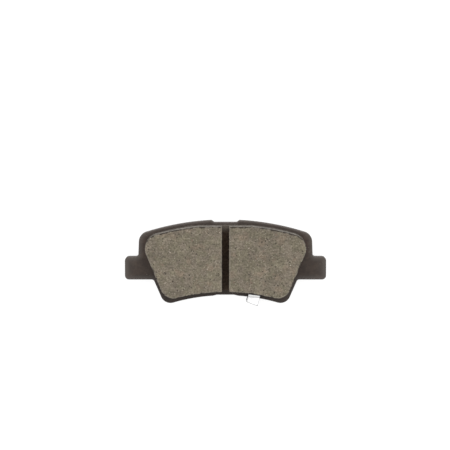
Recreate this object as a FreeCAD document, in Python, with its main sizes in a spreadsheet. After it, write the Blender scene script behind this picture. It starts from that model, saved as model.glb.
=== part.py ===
import FreeCAD, Part
import math
import os
import Sketcher
from FreeCAD import Placement, Rotation, Vector

# Rear disc brake pad, inner side, lying on its back: X along the pad, Y radially outward from the
# disc's axle, Z out of the friction face. The origin is on the outer back face of the noise shim, on the
# piston's axis: half-way between the ears' ends and half-way up the backing plate. Millimetres, degrees.

DOC = FreeCAD.newDocument("brake_pad")
SHEET = DOC.addObject("Spreadsheet::Sheet", "Sizes")

SIZES = {
    # disc: all of the pad's arcs share its axle
    "axle_drop": (110.9, "from the piston's axis down to the disc's axle"),
    # backing plate
    "plate_thick": (5.0, "backing plate, thickness"),
    "plate_outer_radius": (131.3, "plate's outer arc, close to the disc's"),
    "plate_inner_radius": (93.8, "plate's inner arc"),
    "plate_shoulder_half": (42.8, "half width at the upper corners"),
    "plate_waist_half": (43.2, "half width where the ears start"),
    "plate_foot_half": (30.15, "half width at the lower corners"),
    "plate_hip_half": (35.7, "half width under the ears"),
    "shoulder_round": (4.8, "upper corners, radius"),
    "foot_round": (5.0, "lower corners, radius"),
    "die_roll": (0.6, "rounded front edge left by fine blanking"),
    "back_break": (0.3, "broken back edge"),
    # ears that slide in the carrier
    "ear_end_half": (49.9, "half length over the ears"),
    "ear_top": (2.2, "ear's upper face above the piston's axis"),
    "ear_bottom": (9.2, "ear's lower face below the piston's axis"),
    "ear_round": (2.0, "ear's outer corners, radius"),
    "ear_root_round": (1.5, "ear's inner corners, radius"),
    # notch in the outer arc, recess in the inner one
    "notch_floor": (19.25, "notch floor above the piston's axis"),
    "notch_half": (5.6, "half width of the notch floor"),
    "notch_flare": (2.8, "how far each end of the notch leans out"),
    "recess_floor": (16.8, "recess floor below the piston's axis"),
    "recess_half": (4.2, "half width of the recess floor"),
    "recess_flare": (8.2, "how far each end of the recess leans out"),
    "cut_reach": (2.0, "how far both cuts run past the floor"),
    "cut_round": (0.8, "rounded corners of both cuts"),
    # keying holes that the underlayer fills
    "key_spacing": (44.0, "between the two keying holes"),
    "key_rise": (3.0, "keying holes above the piston's axis"),
    "key_diameter": (9.0, "keying holes"),
    "key_shortfall": (0.2, "how far the plugs stop short of the back"),
    # lining
    "film_thick": (0.1, "bonding adhesive"),
    "underlayer_thick": (1.9, "underlayer"),
    "friction_thick": (8.0, "friction material"),
    "slot_width": (3.45, "slot between the two segments"),
    "other_half": (100.0, "side of the block that each segment loses beyond the slot"),
    "lining_top": (17.95, "straight upper edge above the piston's axis"),
    "lining_outer_radius": (129.5, "lining's outer arc"),
    "lining_inner_radius": (96.8, "lining's inner arc"),
    "lining_shoulder_half": (41.85, "half width at the upper corners, sharp"),
    "lining_foot_half": (29.3, "half width at the lower corners, sharp"),
    "lining_shoulder_round": (7.2, "upper corners, radius"),
    "lining_foot_round": (6.6, "lower corners, radius"),
    # noise shim
    "shim_top": (18.2, "straight upper edge above the piston's axis"),
    "shim_outer_radius": (129.6, "shim's outer arc"),
    "shim_inner_radius": (95.6, "shim's inner arc"),
    "shim_shoulder_half": (41.6, "half width at the upper corners, sharp"),
    "shim_foot_half": (28.6, "half width at the lower corners, sharp"),
    "shim_round": (5.0, "all four corners, radius"),
    "coating_thick": (0.15, "outer rubber coating"),
    "outer_steel_thick": (0.4, "outer steel sheet"),
    "damping_thick": (0.15, "rubber between the sheets"),
    "inner_steel_thick": (0.4, "inner steel sheet"),
    "adhesive_thick": (0.1, "shim's adhesive"),
    # wear indicator: a spring steel strip riveted behind the plate and hooked round its lower edge
    "strip_thick": (0.6, "strip, thickness"),
    "strip_width": (5.9, "strip, width"),
    "strip_angle": (14.0, "strip's lean from straight down"),
    "strip_start": (-3.6, "upper end, measured from the rivet"),
    "strip_bend": (0.7, "inner radius of the bends"),
    "riser_left": (12.7, "outermost point, left edge, from the rivet"),
    "riser_right": (13.45, "outermost point, right edge, from the rivet"),
    "fold_left": (9.85, "fold at the tip, left edge, from the rivet"),
    "fold_right": (8.65, "fold at the tip, right edge, from the rivet"),
    "tip_left": (8.2, "tip, left edge, from the rivet"),
    "tip_right": (7.5, "tip, right edge, from the rivet"),
    "shoulder_rise": (0.4, "top of the riser above the plate's face"),
    "fold_rise": (2.3, "fold above the plate's face"),
    "tip_rise": (2.6, "tip above the plate's face, where it warns"),
    "rivet_across": (16.2, "rivet to the right of the piston's axis"),
    "rivet_down": (8.8, "rivet below the piston's axis"),
    "rivet_shank": (3.0, "rivet shank, diameter"),
    "rivet_head": (5.0, "rivet head, diameter"),
    "rivet_head_thick": (0.5, "rivet head, thickness"),
    "rivet_flare": (4.4, "flared front end, diameter"),
    "rivet_flare_deep": (0.7, "flared front end, depth"),
    "window_width": (8.4, "window in the shim round the strip"),
    "window_clear": (1.4, "window past the strip's upper end"),
}


def fill_sheet():
    for row, (name, (value, note)) in enumerate(SIZES.items(), start=1):
        SHEET.set("A%d" % row, note)
        SHEET.set("B%d" % row, str(value))
        SHEET.setAlias("B%d" % row, name)
    DOC.recompute()


def size(name):
    return float(SHEET.get(name))


def cell(*names):
    """The sum of the named cells, as an expression."""
    return " + ".join("Sizes." + name for name in names)


# levels above the back face, each as the cells that add up to it
SHIM_LAYERS = (
    ("shim_outer_coating", "coating_thick"),
    ("shim_outer_steel", "outer_steel_thick"),
    ("shim_damping_core", "damping_thick"),
    ("shim_inner_steel", "inner_steel_thick"),
    ("shim_adhesive", "adhesive_thick"),
)
PLATE_BACK = tuple(thickness for label, thickness in SHIM_LAYERS)
PLATE_FACE = PLATE_BACK + ("plate_thick",)
UNDERLAYER_BACK = PLATE_FACE + ("film_thick",)
FRICTION_BACK = UNDERLAYER_BACK + ("underlayer_thick",)


def level(cells):
    return sum(size(name) for name in cells)


# ---- bodies, sketches and features --------------------------------------------------------------


def new_body(label, cells=()):
    body = DOC.addObject("PartDesign::Body", label)
    body.Label = label
    if cells:
        body.setExpression("Placement.Base.z", cell(*cells))
    return body


def new_sketch(body, name, role="XY_Plane"):
    sketch = body.newObject("Sketcher::SketchObject", name)
    plane = next(item for item in body.Origin.OriginFeatures if item.Role == role)
    sketch.AttachmentSupport = [(plane, "")]
    sketch.MapMode = "FlatFace"
    return sketch


def drive(sketch, constraint, name, expression):
    """Adds a dimension to the sketch and ties it to the sheet."""
    number = sketch.addConstraint(constraint)
    sketch.renameConstraint(number, name)
    sketch.setExpression("Constraints." + name, expression)


def place_x(sketch, spot, side, name, expression):
    """Holds a point of the sketch at a distance from the Y axis, on the right (1) or on the left (-1)."""
    ends = (-1, 1, *spot) if side > 0 else (*spot, -1, 1)
    distance = abs(sketch.getPoint(*spot).x)
    drive(sketch, Sketcher.Constraint("DistanceX", *ends, distance), name, expression)


def place_y(sketch, spot, side, name, expression):
    """Holds a point of the sketch at a distance above (1) or below (-1) the X axis."""
    ends = (-1, 1, *spot) if side > 0 else (*spot, -1, 1)
    distance = abs(sketch.getPoint(*spot).y)
    drive(sketch, Sketcher.Constraint("DistanceY", *ends, distance), name, expression)


def draw_ring(sketch, ring, curved=()):
    """Draws a closed outline through the ring's points, with arcs about the disc's axle where it is
    curved, and joins it up. Returns its edges and, for each point, the sketch's name for that point."""
    edges = []
    for number, start in enumerate(ring):
        end = ring[(number + 1) % len(ring)]
        shape = disc_arc(start, end) if number in curved else Part.LineSegment(start, end)
        edges.append(sketch.addGeometry(shape, False))
    for number, edge in enumerate(edges):
        following = edges[(number + 1) % len(edges)]
        corner = ring[(number + 1) % len(ring)]
        leave, arrive = (nearer_end(sketch, each, corner) for each in (edge, following))
        sketch.addConstraint(Sketcher.Constraint("Coincident", edge, leave, following, arrive))
    spots = [
        (edges[number - 1], 2) if number in curved else (edges[number], 1) for number in range(len(ring))
    ]
    return edges, spots


def nearer_end(sketch, edge, corner):
    return min((1, 2), key=lambda end: (sketch.getPoint(edge, end) - corner).Length)


def disc_arc(start, end):
    """An arc about the disc's axle, clockwise from start to end for an outline drawn clockwise."""
    axle = Vector(0, -size("axle_drop"), 0)
    radius = (start - axle).Length
    circle = Part.Circle(axle, Vector(0, 0, 1), radius)
    angles = sorted(math.atan2(point.y - axle.y, point.x) for point in (start, end))
    return Part.ArcOfCircle(circle, *angles)


def on_arc(x, radius):
    return Vector(x, math.sqrt(radius**2 - x**2) - size("axle_drop"), 0)


def pad(body, sketch, name, expression, reverse=False):
    feature = body.newObject("PartDesign::Pad", name)
    feature.Profile = sketch
    feature.setExpression("Length", expression)
    feature.Reversed = reverse
    DOC.recompute()


def pocket(body, sketch, name):
    """Cuts the sketch through the whole body, both ways from its plane."""
    before = body.Shape.Volume
    feature = body.newObject("PartDesign::Pocket", name)
    feature.Profile = sketch
    feature.Type = "ThroughAll"
    feature.Midplane = True
    DOC.recompute()
    if not body.Shape.Volume < before:
        raise ValueError(name + " cuts nothing")


def upright_edges(shape, corners):
    """Names of the shape's vertical edges that stand on the corners."""
    names = []
    for number, edge in enumerate(shape.Edges, start=1):
        ends = [vertex.Point for vertex in edge.Vertexes]
        if len(ends) < 2 or Vector(ends[0].x - ends[1].x, ends[0].y - ends[1].y, 0).Length > 0.01:
            continue
        if any(Vector(ends[0].x - spot.x, ends[0].y - spot.y, 0).Length < 0.05 for spot in corners):
            names.append("Edge%d" % number)
    return names


def rim_edges(shape, height):
    """Names of the shape's edges that lie at one height."""
    return [
        "Edge%d" % number
        for number, edge in enumerate(shape.Edges, start=1)
        if abs(edge.BoundBox.ZMin - height) < 0.001 and abs(edge.BoundBox.ZMax - height) < 0.001
    ]


def dress(body, kind, name, edges, prop, expression):
    """A fillet or chamfer on edges of the body as it is so far."""
    if not edges:
        raise ValueError(name + " has no edges")
    base = body.Tip
    feature = body.newObject("PartDesign::" + kind, name)
    feature.Base = (base, edges)
    feature.setExpression(prop, expression)
    DOC.recompute()


# ---- outlines -----------------------------------------------------------------------------------


def mirrored(points):
    """A clockwise outline's right-hand points, followed by their mirror images."""
    return points + [Vector(-point.x, point.y, 0) for point in reversed(points)]


def plate_outline(sketch):
    """The plate's outline with sharp corners, clockwise from the upper right one."""
    ear_top, ear_bottom = size("ear_top"), -size("ear_bottom")
    widths = (
        "plate_shoulder_half",
        "plate_waist_half",
        "ear_end_half",
        "ear_end_half",
        "plate_hip_half",
        "plate_foot_half",
    )
    right = [
        on_arc(size("plate_shoulder_half"), size("plate_outer_radius")),
        Vector(size("plate_waist_half"), ear_top, 0),
        Vector(size("ear_end_half"), ear_top, 0),
        Vector(size("ear_end_half"), ear_bottom, 0),
        Vector(size("plate_hip_half"), ear_bottom, 0),
        on_arc(size("plate_foot_half"), size("plate_inner_radius")),
    ]
    ring = mirrored(right)
    inner_arc, outer_arc = len(right) - 1, len(ring) - 1
    edges, spots = draw_ring(sketch, ring, (inner_arc, outer_arc))
    hold_arcs(sketch, (edges[inner_arc], edges[outer_arc]), ("plate_inner_radius", "plate_outer_radius"))
    for number, width in enumerate(widths):
        mirror = len(ring) - 1 - number
        place_x(sketch, spots[number], 1, "right_%d" % number, cell(width))
        place_x(sketch, spots[mirror], -1, "left_%d" % number, cell(width))
    for upper, lower, side in ((1, 3, "right"), (9, 7, "left")):
        for number in (upper, lower):
            sketch.addConstraint(Sketcher.Constraint("Horizontal", edges[number]))
        place_y(sketch, spots[upper], 1, "ear_top_" + side, cell("ear_top"))
        place_y(sketch, spots[lower], -1, "ear_bottom_" + side, cell("ear_bottom"))
    return ring


def hold_arcs(sketch, arcs, radii):
    """Centres the arcs on the disc's axle and drives their radii."""
    first = arcs[0]
    sketch.addConstraint(Sketcher.Constraint("PointOnObject", first, 3, -2))
    place_y(sketch, (first, 3), -1, "axle", cell("axle_drop"))
    for arc in arcs[1:]:
        sketch.addConstraint(Sketcher.Constraint("Coincident", arc, 3, first, 3))
    for number, (arc, radius) in enumerate(zip(arcs, radii)):
        constraint = Sketcher.Constraint("Radius", arc, size(radius))
        drive(sketch, constraint, "radius_%d" % number, cell(radius))


def layer_outline(sketch, family):
    """Outline of the lining or of the shim with sharp corners: a straight top that turns into arcs about
    the axle, slanting sides and an inner arc, clockwise from the right-hand end of the straight top."""
    outer, inner = size(family + "_outer_radius"), size(family + "_inner_radius")
    top = size(family + "_top")
    flat = math.sqrt(outer**2 - (top + size("axle_drop")) ** 2)
    shoulder = on_arc(size(family + "_shoulder_half"), outer)
    foot = on_arc(size(family + "_foot_half"), inner)
    ring = mirrored([Vector(flat, top, 0), shoulder, foot])
    edges, spots = draw_ring(sketch, ring, (0, 2, 4))
    radii = (family + "_outer_radius", family + "_inner_radius", family + "_outer_radius")
    hold_arcs(sketch, (edges[0], edges[2], edges[4]), radii)
    for number, name in ((1, "_shoulder_half"), (2, "_foot_half")):
        place_x(sketch, (edges[1], number), 1, "right" + name, cell(family + name))
        place_x(sketch, (edges[3], 3 - number), -1, "left" + name, cell(family + name))
    sketch.addConstraint(Sketcher.Constraint("Horizontal", edges[5]))
    place_y(sketch, (edges[5], 1), 1, "top", cell(family + "_top"))
    return ring


def flared_outline(sketch, family, up):
    """A trapezium on the Y axis: the floor of a cut, with both ends leaning out to its mouth."""
    floor = up * size(family + "_floor")
    mouth = floor + up * size("cut_reach")
    half = size(family + "_half")
    wide = half + size(family + "_flare")
    ring = mirrored([Vector(half, floor, 0), Vector(wide, mouth, 0)])
    edges, spots = draw_ring(sketch, ring)
    wide_cells = cell(family + "_half", family + "_flare")
    for side, name, at_floor, at_mouth in ((1, "right", 0, 1), (-1, "left", 3, 2)):
        place_x(sketch, spots[at_floor], side, "floor_" + name, cell(family + "_half"))
        place_x(sketch, spots[at_mouth], side, "mouth_" + name, wide_cells)
    for number in (1, 3):
        sketch.addConstraint(Sketcher.Constraint("Horizontal", edges[number]))
    place_y(sketch, spots[0], up, "floor", cell(family + "_floor"))
    place_y(sketch, spots[1], up, "mouth", cell(family + "_floor", "cut_reach"))
    return ring


def key_circles(sketch):
    """The two keying holes, either side of the piston's axis."""
    for side, name in ((1, "right"), (-1, "left")):
        centre = Vector(side * size("key_spacing") / 2, size("key_rise"), 0)
        edge = sketch.addGeometry(Part.Circle(centre, Vector(0, 0, 1), size("key_diameter") / 2), False)
        place_x(sketch, (edge, 3), side, "across_" + name, cell("key_spacing") + " / 2")
        place_y(sketch, (edge, 3), 1, "rise_" + name, cell("key_rise"))
        bore = Sketcher.Constraint("Diameter", edge, size("key_diameter"))
        drive(sketch, bore, "bore_" + name, cell("key_diameter"))


# ---- plate --------------------------------------------------------------------------------------


def backing_plate():
    """Fine-blanked steel plate with an ear at each end, rounded over along its front edge."""
    body = new_body("backing_plate", PLATE_BACK)
    outline = new_sketch(body, "PlateOutline")
    ring = plate_outline(outline)
    pad(body, outline, "PlateBlank", cell("plate_thick"))
    cut_corners = []
    for family, up in (("notch", 1), ("recess", -1)):
        sketch = new_sketch(body, family.capitalize() + "Outline")
        cut_ring = flared_outline(sketch, family, up)
        pocket(body, sketch, family.capitalize())
        cut_corners += [cut_ring[0], cut_ring[3]]
    shoulders, waists, ear_uppers, ear_lowers, hips, feet = (
        [ring[number], ring[-1 - number]] for number in range(len(ring) // 2)
    )
    rounds = (
        ("ShoulderRounds", shoulders, "shoulder_round"),
        ("FootRounds", feet, "foot_round"),
        ("EarRounds", ear_uppers + ear_lowers, "ear_round"),
        ("EarRootRounds", waists + hips, "ear_root_round"),
        ("CutRounds", cut_corners, "cut_round"),
    )
    for name, spots, radius in rounds:
        dress(body, "Fillet", name, upright_edges(body.Tip.Shape, spots), "Radius", cell(radius))
    front = rim_edges(body.Tip.Shape, size("plate_thick"))
    dress(body, "Fillet", "DieRoll", front, "Radius", cell("die_roll"))
    back = rim_edges(body.Tip.Shape, 0)
    dress(body, "Chamfer", "BackBreak", back, "Size", cell("back_break"))
    keys = new_sketch(body, "KeyCircles")
    key_circles(keys)
    pocket(body, keys, "KeyHoles")
    rivet_hole(body)
    return body


def rivet_hole(body):
    """The rivet's hole, flared at the front so that the rivet ends flush under the lining."""
    for kind, name in (("Cylinder", "RivetHole"), ("Cone", "RivetFlare")):
        cut = body.newObject("PartDesign::Subtractive" + kind, name)
        spot = Vector(size("rivet_across"), -size("rivet_down"), 0)
        if kind == "Cylinder":
            cut.setExpression("Radius", cell("rivet_shank") + " / 2")
            cut.setExpression("Height", cell("plate_thick"))
        else:
            cut.setExpression("Radius1", cell("rivet_shank") + " / 2")
            cut.setExpression("Radius2", cell("rivet_flare") + " / 2")
            cut.setExpression("Height", cell("rivet_flare_deep"))
            spot.z = size("plate_thick") - size("rivet_flare_deep")
        cut.Placement = Placement(spot, Rotation())
        DOC.recompute()


# ---- lining -------------------------------------------------------------------------------------


def lining_body(label, cells, thickness):
    """A layer of the lining with its four corners rounded."""
    body = new_body(label, cells)
    outline = new_sketch(body, label + "_outline")
    corners = layer_outline(outline, "lining")
    pad(body, outline, label + "_block", cell(thickness))
    round_layer(body, corners, "lining_shoulder_round", "lining_foot_round")
    return body


def round_layer(body, corners, upper, lower):
    for name, spots, radius in (
        ("_upper_rounds", (corners[1], corners[4]), upper),
        ("_lower_rounds", (corners[2], corners[3]), lower),
    ):
        edges = upright_edges(body.Tip.Shape, spots)
        dress(body, "Fillet", body.Label + name, edges, "Radius", cell(radius))


def bonding_adhesive():
    """Film of adhesive between the plate and the underlayer, open at the keying holes."""
    body = lining_body("bonding_adhesive", PLATE_FACE, "film_thick")
    keys = new_sketch(body, "FilmCircles")
    key_circles(keys)
    pocket(body, keys, "FilmHoles")
    return body


def underlayer():
    """Insulating layer under the friction material, with a plug in each keying hole of the plate."""
    body = lining_body("underlayer", UNDERLAYER_BACK, "underlayer_thick")
    keys = new_sketch(body, "PlugCircles")
    key_circles(keys)
    plug_length = cell("film_thick", "plate_thick") + " - Sizes.key_shortfall"
    pad(body, keys, "Plugs", plug_length, reverse=True)
    return body


def friction_segment(label, side):
    """Half of the friction material, on the right (1) or left (-1) of the slot."""
    body = lining_body(label, FRICTION_BACK, "friction_thick")
    cut = body.newObject("PartDesign::SubtractiveBox", label + "_cut")
    cut.setExpression("Length", cell("other_half"))
    cut.setExpression("Width", cell("other_half"))
    cut.setExpression("Height", cell("friction_thick"))
    cut.setExpression("Placement.Base.y", "-Sizes.other_half / 2")
    if side > 0:
        cut.setExpression("Placement.Base.x", "Sizes.slot_width / 2 - Sizes.other_half")
    else:
        cut.setExpression("Placement.Base.x", "-Sizes.slot_width / 2")
    DOC.recompute()
    return body


# ---- noise shim ---------------------------------------------------------------------------------


def shim_layer(label, thickness, below):
    """One sheet of the shim, with a window round the wear indicator's strip."""
    body = new_body(label, below)
    outline = new_sketch(body, label + "_outline")
    corners = layer_outline(outline, "shim")
    pad(body, outline, label + "_sheet", cell(thickness))
    round_layer(body, corners, "shim_round", "shim_round")
    window = body.newObject("PartDesign::SubtractiveBox", label + "_window")
    window.setExpression("Length", cell("window_width"))
    window.setExpression("Width", "Sizes.riser_right + Sizes.window_clear - Sizes.strip_start")
    window.setExpression("Height", cell(thickness))
    upper_end = size("strip_start") - size("window_clear")
    corner = Vector(-size("window_width") / 2, -size("riser_right"), 0)
    turn = Rotation(Vector(0, 0, 1), -size("strip_angle"))
    window.Placement = Placement(rivet_spot() + turn.multVec(corner), turn)
    DOC.recompute()
    inside = rivet_spot() + turn.multVec(Vector(0, -upper_end, 0))
    spots = [
        inside + turn.multVec(Vector(side * size("window_width") / 2, 0, 0)) for side in (-1, 1)
    ]
    edges = upright_edges(body.Tip.Shape, spots)
    dress(body, "Fillet", label + "_window_rounds", edges, "Radius", cell("ear_root_round"))
    return body


def rivet_spot():
    return Vector(size("rivet_across"), -size("rivet_down"), 0)


# ---- wear indicator -----------------------------------------------------------------------------


def bent_profile(points, thickness, bend):
    """Closed wire round a bent strip seen from its edge: points are the corners of its middle line, and
    each bend has the given inner radius."""
    sides = []
    for sign in (1, -1):
        edges = []
        start = None
        for number, point in enumerate(points):
            before = (point - points[number - 1]).normalize() if number else None
            after = (points[number + 1] - point).normalize() if number + 1 < len(points) else None
            if before is None or after is None:
                run = after if before is None else before
                end = point + Vector(-run.z, 0, run.x) * sign * thickness / 2
                if start is not None:
                    edges.append(Part.LineSegment(start, end).toShape())
                start = end
                continue
            turn = math.atan2(before.x * after.z - before.z * after.x, before.dot(after))
            towards = 1 if turn > 0 else -1
            middle = bend + thickness / 2
            radius = middle - sign * towards * thickness / 2
            reach = middle * math.tan(abs(turn) / 2)
            first, last = point - before * reach, point + after * reach
            centre = first + Vector(-before.z, 0, before.x) * towards * middle
            spokes = [(spot - centre).normalize() * radius for spot in (first, last)]
            halfway = (spokes[0] + spokes[1]).normalize() * radius
            arc = [centre + spoke for spoke in (spokes[0], halfway, spokes[1])]
            edges.append(Part.LineSegment(start, arc[0]).toShape())
            edges.append(Part.Arc(*arc).toShape())
            start = arc[2]
        sides.append(edges)
    ends = [
        Part.LineSegment(sides[0][index].Vertexes[index].Point, sides[1][index].Vertexes[index].Point)
        for index in (0, -1)
    ]
    loop = sides[0] + [ends[1].toShape()] + list(reversed(sides[1])) + [ends[0].toShape()]
    return Part.Wire(Part.__sortEdges__(loop))


def strip_profile(side, across):
    """The strip's edge at one side, in the strip's own frame: X away from the rivet, Z forward."""
    plate_face = size("plate_thick")
    middle = -size("strip_thick") / 2
    riser = size("riser_" + side) + middle
    points = [
        Vector(size("strip_start"), across, middle),
        Vector(riser, across, middle),
        Vector(riser, across, plate_face + size("shoulder_rise")),
        Vector(size("fold_" + side), across, plate_face + size("fold_rise")),
        Vector(size("tip_" + side), across, plate_face + size("tip_rise")),
    ]
    return bent_profile(points, size("strip_thick"), size("strip_bend"))


def wear_indicator():
    """Plated spring steel strip: flat behind the plate, then hooked forward round its lower edge, with
    folds that aren't square to the strip, so that each side has a profile of its own."""
    half = size("strip_width") / 2
    strip = DOC.addObject("Part::Feature", "BentStrip")
    strip.Shape = Part.makeLoft([strip_profile("right", half), strip_profile("left", -half)], True, True)
    heading = Rotation(Vector(0, 0, 1), -90 - size("strip_angle"))
    spot = rivet_spot() + Vector(0, 0, level(PLATE_BACK))
    strip.Placement = Placement(spot, heading)
    hole = DOC.addObject("Part::Cylinder", "StripHole")
    hole.setExpression("Radius", cell("rivet_shank") + " / 2")
    hole.setExpression("Height", cell("strip_thick") + " * 3")
    hole.Placement = Placement(spot - Vector(0, 0, 2 * size("strip_thick")), Rotation())
    cut = DOC.addObject("Part::Cut", "wear_indicator")
    cut.Base = strip
    cut.Tool = hole
    cut.Label = "wear_indicator"
    DOC.recompute()
    return cut


def wear_indicator_rivet():
    """Flat-headed rivet, its head behind the strip and its front end flared flush with the plate."""
    body = new_body("wear_indicator_rivet")
    sketch = new_sketch(body, "RivetProfile", "XZ_Plane")
    shank, head = size("rivet_shank") / 2, size("rivet_head") / 2
    flare = size("rivet_flare") / 2
    back = -size("strip_thick")
    face = size("plate_thick")
    neck = face - size("rivet_flare_deep")
    outline = (
        (0, back - size("rivet_head_thick")),
        (head, back - size("rivet_head_thick")),
        (head, back),
        (shank, back),
        (shank, neck),
        (flare, face),
        (0, face),
    )
    edges, spots = draw_ring(sketch, [Vector(x, y, 0) for x, y in outline])
    for number in (0, 2, 5):
        sketch.addConstraint(Sketcher.Constraint("Horizontal", edges[number]))
    for number in (1, 3, 6):
        sketch.addConstraint(Sketcher.Constraint("Vertical", edges[number]))
    sketch.addConstraint(Sketcher.Constraint("PointOnObject", *spots[0], -2))
    place_x(sketch, spots[1], 1, "head", cell("rivet_head") + " / 2")
    place_x(sketch, spots[3], 1, "shank", cell("rivet_shank") + " / 2")
    place_x(sketch, spots[5], 1, "flare", cell("rivet_flare") + " / 2")
    place_y(sketch, spots[0], -1, "head_back", cell("strip_thick", "rivet_head_thick"))
    place_y(sketch, spots[2], -1, "head_front", cell("strip_thick"))
    place_y(sketch, spots[4], 1, "neck", "Sizes.plate_thick - Sizes.rivet_flare_deep")
    place_y(sketch, spots[6], 1, "face", cell("plate_thick"))
    turned = body.newObject("PartDesign::Revolution", "RivetBody")
    turned.Profile = sketch
    turned.ReferenceAxis = (sketch, ["V_Axis"])
    turned.Angle = 360
    body.Placement = Placement(rivet_spot() + Vector(0, 0, level(PLATE_BACK)), Rotation())
    DOC.recompute()
    return body


# ---- everything ---------------------------------------------------------------------------------


def check(parts):
    for item in DOC.Objects:
        if "Invalid" in item.State or "Error" in item.State:
            raise ValueError(item.Name + " failed: " + str(item.State))
        if item.TypeId == "Sketcher::SketchObject" and item.solve() != 0:
            raise ValueError(item.Name + " has constraints that disagree")
    for part in parts:
        if part.Shape.isNull() or not part.Shape.isValid() or len(part.Shape.Solids) != 1:
            raise ValueError(part.Label + " isn't one valid solid")


def main():
    fill_sheet()
    parts = [backing_plate(), bonding_adhesive(), underlayer()]
    parts += [friction_segment("friction_segment_right", 1), friction_segment("friction_segment_left", -1)]
    for number, (label, thickness) in enumerate(SHIM_LAYERS):
        parts.append(shim_layer(label, thickness, PLATE_BACK[:number]))
    parts += [wear_indicator(), wear_indicator_rivet()]
    DOC.recompute()
    check(parts)
    os.makedirs("parts", exist_ok=True)
    for part in parts:
        part.Shape.exportStep("parts/%s.step" % part.Label)
        box = part.Shape.BoundBox
        extents = (box.XLength, box.YLength, box.ZLength, box.ZMin)
        print("%-24s %7.2f %7.2f %6.2f  from z %.2f" % (part.Label, *extents))


main()
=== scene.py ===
import itertools
import math

import bmesh
import bpy
import numpy as np
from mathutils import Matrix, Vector
from mathutils.geometry import delaunay_2d_cdt


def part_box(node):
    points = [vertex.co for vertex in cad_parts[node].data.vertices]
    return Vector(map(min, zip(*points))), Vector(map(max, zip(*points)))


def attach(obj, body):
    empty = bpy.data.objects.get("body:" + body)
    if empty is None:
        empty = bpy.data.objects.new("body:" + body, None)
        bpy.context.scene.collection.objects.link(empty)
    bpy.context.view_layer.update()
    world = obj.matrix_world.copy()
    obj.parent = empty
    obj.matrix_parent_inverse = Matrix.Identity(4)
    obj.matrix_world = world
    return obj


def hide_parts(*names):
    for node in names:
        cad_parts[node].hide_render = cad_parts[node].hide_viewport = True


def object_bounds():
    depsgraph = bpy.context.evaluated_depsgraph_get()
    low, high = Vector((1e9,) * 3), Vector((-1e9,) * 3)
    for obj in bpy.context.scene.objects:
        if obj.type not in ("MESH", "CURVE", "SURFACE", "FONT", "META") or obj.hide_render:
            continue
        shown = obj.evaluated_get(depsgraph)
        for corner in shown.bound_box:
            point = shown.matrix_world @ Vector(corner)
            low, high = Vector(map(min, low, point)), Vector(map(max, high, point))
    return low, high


# A disc brake pad lying on its back on a pale floor. The scene is in metres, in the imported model's own
# frame: X along the pad, Y radially outward, Z out of the friction face. Outlines, noise and shades are
# worked out in millimetres.

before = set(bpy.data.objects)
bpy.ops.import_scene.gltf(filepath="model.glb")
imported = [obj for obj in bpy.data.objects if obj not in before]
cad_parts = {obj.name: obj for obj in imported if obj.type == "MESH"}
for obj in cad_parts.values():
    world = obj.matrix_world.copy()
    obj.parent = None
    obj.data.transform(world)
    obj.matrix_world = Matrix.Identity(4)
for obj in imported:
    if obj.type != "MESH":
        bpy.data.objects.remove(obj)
CAD_BOX = [list(corner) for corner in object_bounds()]
MM = 0.001


def high_corner(node):
    """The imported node's highest X, Y and Z, in millimetres."""
    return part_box(node)[1] / MM


PLATE_HALF = high_corner("backing_plate").x
PLATE_FACE = high_corner("backing_plate").z
FILM_FACE = high_corner("bonding_adhesive").z
UNDERLAYER_FACE = high_corner("underlayer").z
LINING_TOP = high_corner("underlayer").y
FRICTION_FACE = high_corner("friction_segment_right").z
STRIP_TOP = high_corner("wear_indicator").z

# The wear indicator's lean and half width, and how low the slot reaches at its middle.
STRIP_LEAN = math.radians(14)
STRIP_HALF = 2.95
SLOT_FOOT = -14.9

# How near two points count as one: WELD in metres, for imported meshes, and SAME_POINT in millimetres.
WELD = 1e-6
SAME_POINT = 1e-7


# ---- noise ----------------------------------------------------------------------------------------

LATTICE_STEPS = np.array([374761393, 668265263, 2147483629], dtype=np.int64)
SCRAMBLER = 1274126177
WORD = 0xFFFFFFFF


def lattice_value(lattice, seed):
    """A repeatable random number from 0 to 1 for each row of whole numbers."""
    mixed = (lattice @ LATTICE_STEPS + seed * SCRAMBLER) & WORD
    mixed = ((mixed ^ (mixed >> 13)) * SCRAMBLER) & WORD
    return (mixed ^ (mixed >> 16)) / WORD


def noise(points, grain, seed):
    """Smooth noise from 0 to 1 at points in space, with lumps about grain across."""
    places = points / grain
    corner = np.floor(places).astype(np.int64)
    part = places - corner
    part = part * part * (3 - 2 * part)
    total = np.zeros(len(points))
    for step in itertools.product((0, 1), repeat=3):
        weight = np.prod(np.where(step, part, 1 - part), axis=1)
        total += weight * lattice_value(corner + np.array(step), seed)
    return total


def ramp(values, low, high):
    """0 below low, 1 above high, smooth between."""
    part = np.clip((values - low) / (high - low), 0, 1)
    return part * part * (3 - 2 * part)


def lumps(points, seed, *layers):
    """Noise about zero, the sum of (grain, height) layers."""
    total = np.zeros(len(points))
    for number, (grain, height) in enumerate(layers):
        total += (noise(points, grain, seed + number) - 0.5) * height
    return total


def pits(points, seed, grain, low, high, depth):
    """Depth of pits about grain across, which begin where noise passes low and are full at high."""
    return ramp(noise(points, grain, seed), low, high) * depth


def flattened(points):
    """Points of the plane as points in space, at height 0."""
    return np.column_stack([points, np.zeros(len(points))])


# ---- outlines -------------------------------------------------------------------------------------

SHARP_TURN = math.radians(20)
FACES_UP = 0.9
ROW_RISE = math.sqrt(3) / 2
RIM_GAP = 0.6
BATCH = 4000


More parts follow.
